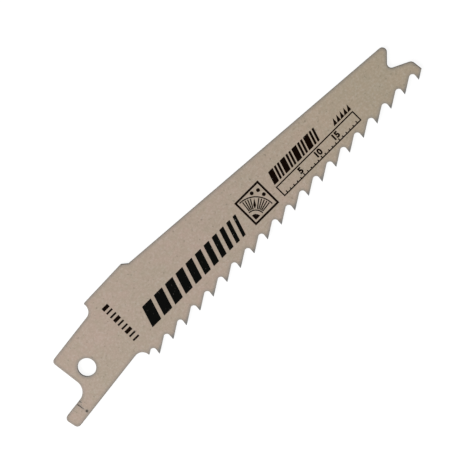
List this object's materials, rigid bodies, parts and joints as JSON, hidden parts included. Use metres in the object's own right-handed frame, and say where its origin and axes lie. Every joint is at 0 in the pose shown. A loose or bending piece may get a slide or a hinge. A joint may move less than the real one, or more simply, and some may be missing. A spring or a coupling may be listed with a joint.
{
  "type": "reciprocating saw blade",
  "caption": "Flat tapered steel saw blade with a clamp shank, a pin hole, a rear tang, set teeth hooked back towards the shank and a hooked nose.",
  "frame": {"origin": "on the axis of the shank's hole, at half the blade's thickness", "axes": "+X along the shank towards the nose, +Y across the shank towards the back of the blade (the teeth are on the -Y side), +Z out of the marked face"},
  "size_m": [0.1019, 0.0254, 0.0018],
  "materials": {
    "blade": "matt warm grey coat over blasted steel, with darker tooth tips"
  },
  "bodies": {
    "root": {"blade": "blade"}
  },
  "joints": []
}
